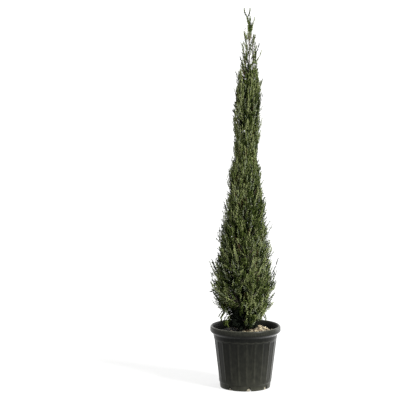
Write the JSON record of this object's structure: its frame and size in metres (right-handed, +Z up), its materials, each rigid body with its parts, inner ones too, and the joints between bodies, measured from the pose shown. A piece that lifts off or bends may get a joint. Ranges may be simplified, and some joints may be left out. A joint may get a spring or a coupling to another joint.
{
  "type": "potted italian cypress",
  "caption": "Slim columnar italian cypress with dense upright sprays of scale foliage, growing in a fluted black round nursery pot filled with bark-topped soil.",
  "frame": {"origin": "middle of the pot's underside, at floor level", "axes": "+Z up along the plant, -Y towards the viewer of the picture, +X to that viewer's right"},
  "size_m": [0.4038, 0.404, 2.1673],
  "materials": {
    "pot": "moulded black recycled polypropylene, satin, dusty towards the foot",
    "soil": "dark moist growing medium with loose tan bark chips on top",
    "bark": "thin grey-brown bark, finely furrowed lengthwise, matt",
    "foliage": "tight scale leaves in rounded sprays, dark olive green with yellow-green tips, slightly waxy"
  },
  "bodies": {
    "root": {"pot": "pot", "soil": "soil", "trunk": "bark", "bough_1a": "bark", "bough_1b": "bark", "bough_1c": "bark", "bough_1d": "bark", "bough_1e": "bark", "bough_2a": "bark", "bough_2b": "bark", "bough_2c": "bark", "bough_2d": "bark", "bough_2e": "bark", "bough_3a": "bark", "bough_3b": "bark", "bough_3c": "bark", "bough_3d": "bark", "bough_3e": "bark", "bough_4a": "bark", "bough_4b": "bark", "bough_4c": "bark", "bough_4d": "bark", "foliage_1a": "foliage", "foliage_1b": "foliage", "foliage_1c": "foliage", "foliage_1d": "foliage", "foliage_1e": "foliage", "foliage_2a": "foliage", "foliage_2b": "foliage", "foliage_2c": "foliage", "foliage_2d": "foliage", "foliage_2e": "foliage", "foliage_3a": "foliage", "foliage_3b": "foliage", "foliage_3c": "foliage", "foliage_3d": "foliage", "foliage_3e": "foliage", "foliage_4a": "foliage", "foliage_4b": "foliage", "foliage_4c": "foliage", "foliage_4d": "foliage", "foliage_5a": "foliage", "foliage_5b": "foliage", "foliage_5c": "foliage", "foliage_5d": "foliage", "foliage_6a": "foliage", "foliage_6b": "foliage", "foliage_6c": "foliage", "foliage_7a": "foliage", "foliage_7b": "foliage", "foliage_7c": "foliage", "foliage_8a": "foliage", "foliage_8b": "foliage", "foliage_8c": "foliage", "foliage_leader": "foliage"}
  },
  "joints": []
}
